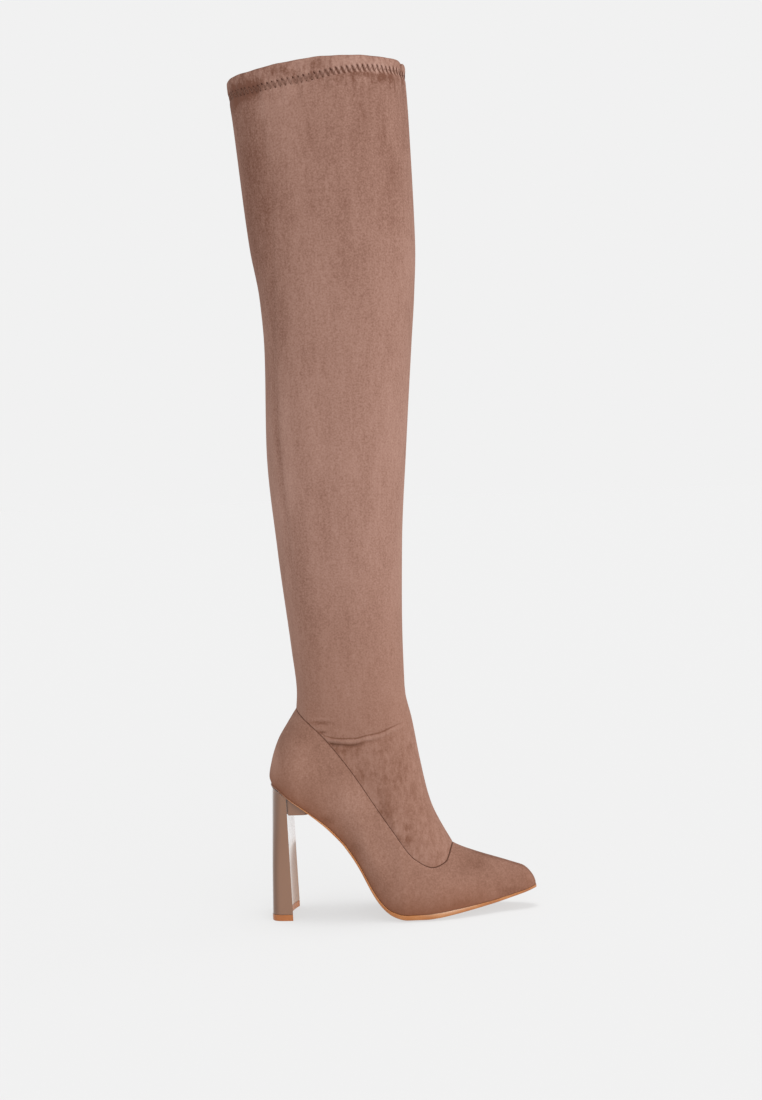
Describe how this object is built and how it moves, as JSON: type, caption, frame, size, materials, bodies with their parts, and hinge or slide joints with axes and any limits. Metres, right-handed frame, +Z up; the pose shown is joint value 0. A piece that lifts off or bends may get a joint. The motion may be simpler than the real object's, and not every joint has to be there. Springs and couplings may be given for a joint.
{
  "type": "tall boot",
  "caption": "Thigh-high pull-on boot with a pointed toe, a slim slab heel and a stretch suede shaft that is open at the collar.",
  "frame": {"origin": "on the floor, under the middle of the boot's outline", "axes": "+X to the toe, +Y to the inner (medial) side of the right leg, +Z up the shaft"},
  "size_m": [0.2314, 0.1056, 0.6995],
  "materials": {
    "suede": "mauve-taupe faux suede, short nap",
    "stretch_suede": "mauve-taupe stretch suede, short nap",
    "sole_tan": "tan moulded sole, satin",
    "sock_beige": "beige sock lining, matte",
    "heel_lacquer": "taupe lacquer, glossy",
    "lift_tan": "tan top piece, satin"
  },
  "bodies": {
    "root": {"upper": "suede", "shaft": "stretch_suede", "outsole": "sole_tan", "insole": "sock_beige", "heel_block": "heel_lacquer", "heel_lift": "lift_tan"}
  },
  "joints": []
}
